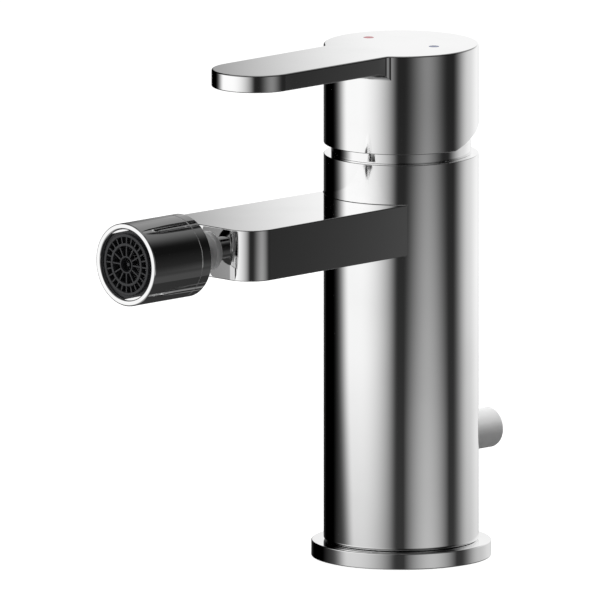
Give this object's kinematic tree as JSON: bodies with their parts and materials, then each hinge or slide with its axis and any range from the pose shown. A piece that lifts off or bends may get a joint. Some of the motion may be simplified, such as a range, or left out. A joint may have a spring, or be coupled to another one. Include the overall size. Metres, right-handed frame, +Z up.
{
  "type": "bidet mixer",
  "caption": "Deck-mounted bidet mixer: chrome cylinder body, flat lever handle, bar spout with a ball-joint nozzle, and a pop-up waste lift knob behind.",
  "frame": {"origin": "on the body's axis at the underside of the base ring, which rests on the deck", "axes": "+Z up along the body, -Y along the spout, +X to the cold side"},
  "size_m": [0.0534, 0.1529, 0.1536],
  "materials": {
    "chrome": "polished chrome plate on brass",
    "brass": "turned",
    "steel": "turned",
    "ceramic": "lapped",
    "white_plastic": "moulded",
    "blue_plastic": "moulded",
    "grey_plastic": "plated look",
    "dark_plastic": "moulded",
    "rubber": "moulded",
    "red_enamel": "filled enamel",
    "blue_enamel": "filled enamel"
  },
  "bodies": {
    "mixer": {"base_ring": "chrome", "base_gasket": "rubber", "body": "chrome", "spout": "chrome", "cartridge_base": "white_plastic", "port_seals": "rubber", "fixed_disc": "ceramic", "cartridge_housing": "white_plastic", "cartridge_seal": "rubber", "cartridge_nut": "brass", "dome_cover": "chrome", "ball_stem": "chrome", "stem_seal": "rubber", "rod_guide": "white_plastic"},
    "swivel": {"swivel_guide": "blue_plastic", "pivot_pin": "steel"},
    "lever": {"spindle": "steel", "handle": "chrome", "handle_screw": "steel", "screw_plug": "grey_plastic", "hot_dot": "red_enamel", "cold_dot": "blue_enamel"},
    "disc": {"moving_disc": "ceramic", "disc_carrier": "blue_plastic"},
    "seat": {"ball_seat": "white_plastic"},
    "seal": {"ball_seal": "rubber"},
    "nozzle": {"ball_ring": "chrome", "nozzle_shell": "chrome", "aerator_washer": "rubber", "aerator_screen": "steel", "aerator_insert": "dark_plastic"},
    "lift": {"lift_rod": "chrome", "lift_knob": "chrome"}
  },
  "joints": [
    {"name": "temperature", "type": "hinge", "parent": "mixer", "child": "swivel", "pos_m": [0, 0, 0.116], "axis": [0, 0, 1], "range_deg": [-45, 45]},
    {"name": "flow", "type": "hinge", "parent": "swivel", "child": "lever", "pos_m": [0, 0, 0.116], "axis": [-1, 0, 0], "range_deg": [0, 22]},
    {"name": "disc_travel", "type": "slide", "parent": "swivel", "child": "disc", "axis": [0, -1, 0], "range_m": [0, 0.0043]},
    {"name": "nozzle_yaw", "type": "hinge", "parent": "mixer", "child": "seat", "pos_m": [0, -0.0952, 0.10135], "axis": [0, 0, 1], "range_deg": [-15, 15]},
    {"name": "nozzle_pitch", "type": "hinge", "parent": "seat", "child": "seal", "pos_m": [0, -0.0952, 0.10135], "axis": [-1, 0, 0], "range_deg": [-15, 15]},
    {"name": "nozzle_spin", "type": "hinge", "parent": "seal", "child": "nozzle", "pos_m": [0, -0.0952, 0.10135], "axis": [0, -1, 0], "continuous": true},
    {"name": "waste_lift", "type": "slide", "parent": "mixer", "child": "lift", "axis": [0, 0, 1], "range_m": [0, 0.015]}
  ],
  "couplings": [
    {"joint": "disc_travel", "follows": "flow", "m_per_rad": 0.0109}
  ]
}
